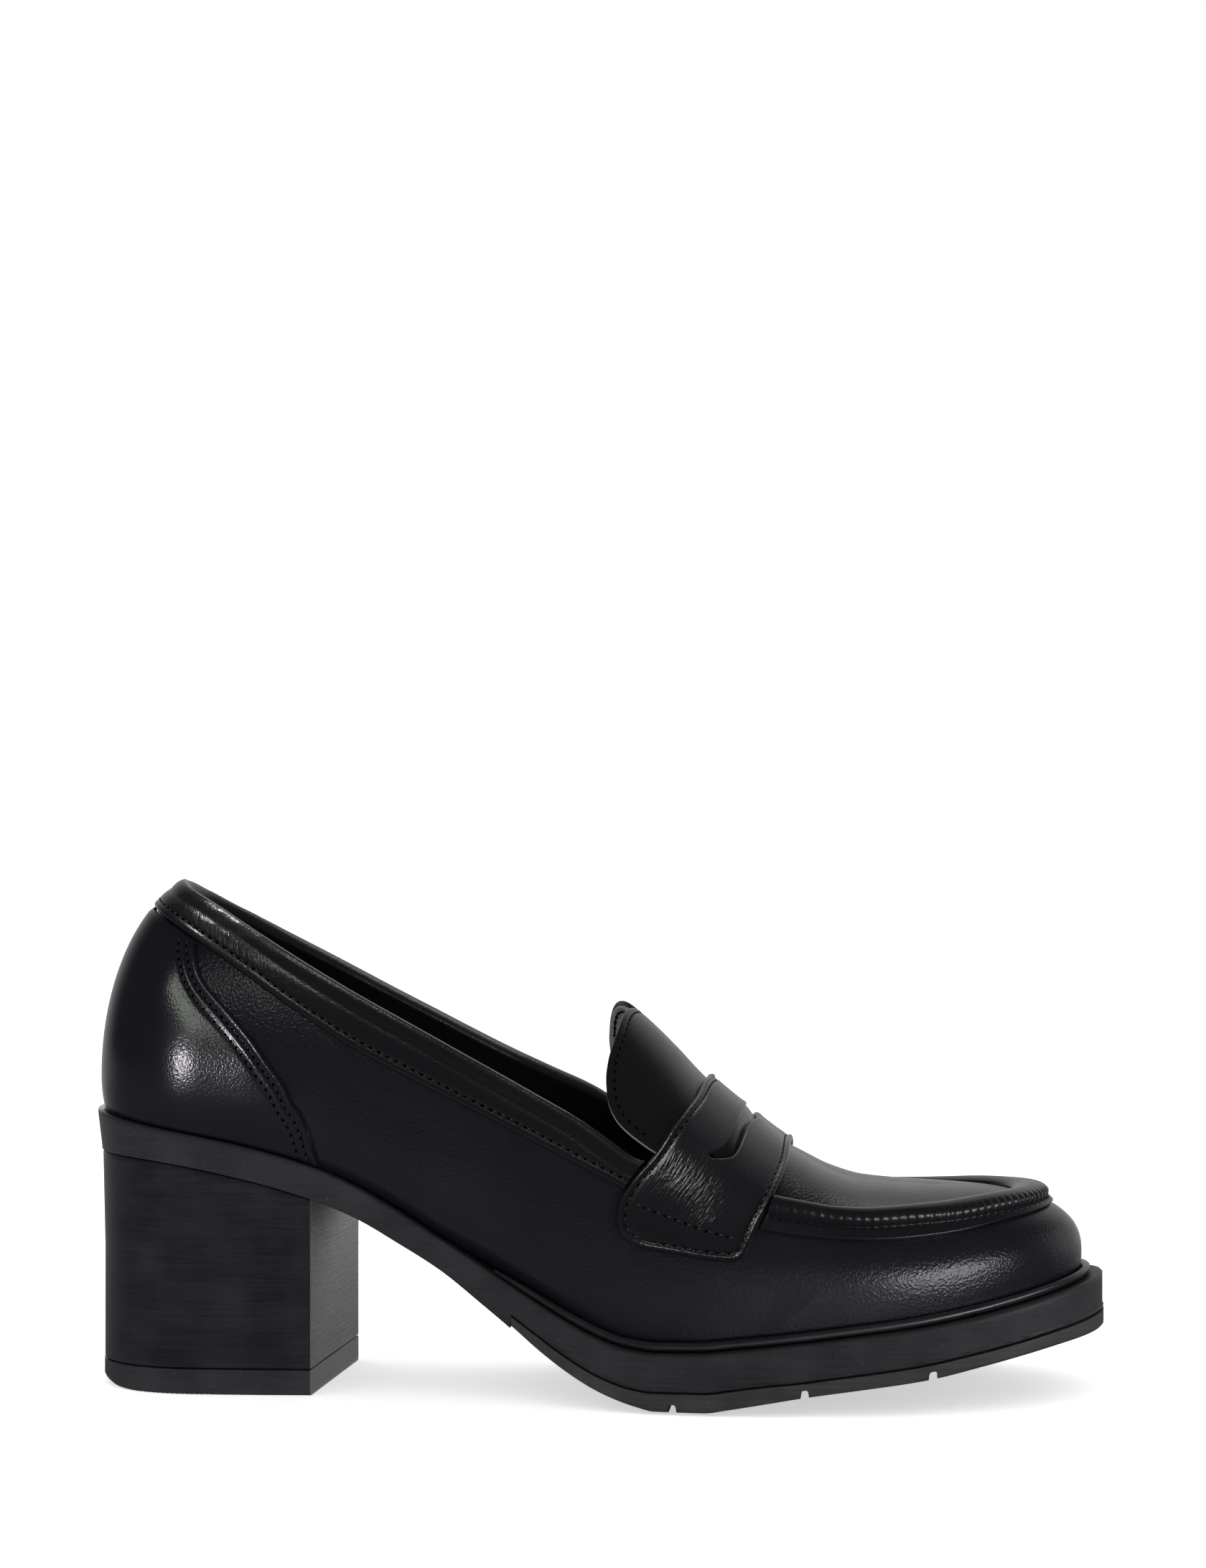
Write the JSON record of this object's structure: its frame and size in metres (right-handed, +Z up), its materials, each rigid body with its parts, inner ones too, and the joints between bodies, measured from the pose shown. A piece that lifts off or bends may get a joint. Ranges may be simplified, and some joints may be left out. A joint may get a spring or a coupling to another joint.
{
  "type": "loafer pump",
  "caption": "Women's right penny loafer in black leather on a tall block heel, with a saddle strap over the vamp, a raised apron seam and a rubber forepart.",
  "frame": {"origin": "on the floor, under the middle of the shoe's box", "axes": "+X from heel to toe, +Y towards the inner side of the right foot, +Z up from the floor"},
  "size_m": [0.249, 0.0908, 0.1242],
  "materials": {
    "upper_leather": "glossy, fine pebble grain",
    "collar_leather": "glossy, folded edge",
    "counter_leather": "polished, stiffened",
    "strap_leather": "glossy, wrinkled grain",
    "tab_leather": "satin, rough underside",
    "apron_leather": "glossy, puckered seam",
    "insole_leather": "matt lining",
    "outsole_rubber": "satin",
    "tread_rubber": "satin",
    "welt_rubber": "polished bead",
    "stacked_heel": "satin, fine level streaks like stacked leather",
    "top_piece_rubber": "matt"
  },
  "bodies": {
    "root": {"upper": "upper_leather", "collar": "collar_leather", "heel_counter": "counter_leather", "saddle_strap": "strap_leather", "tongue_tab": "tab_leather", "apron_seam": "apron_leather", "insole": "insole_leather", "outsole": "outsole_rubber", "forepart_tread": "tread_rubber", "welt_bead": "welt_rubber", "heel_block": "stacked_heel", "heel_top_piece": "top_piece_rubber"}
  },
  "joints": []
}
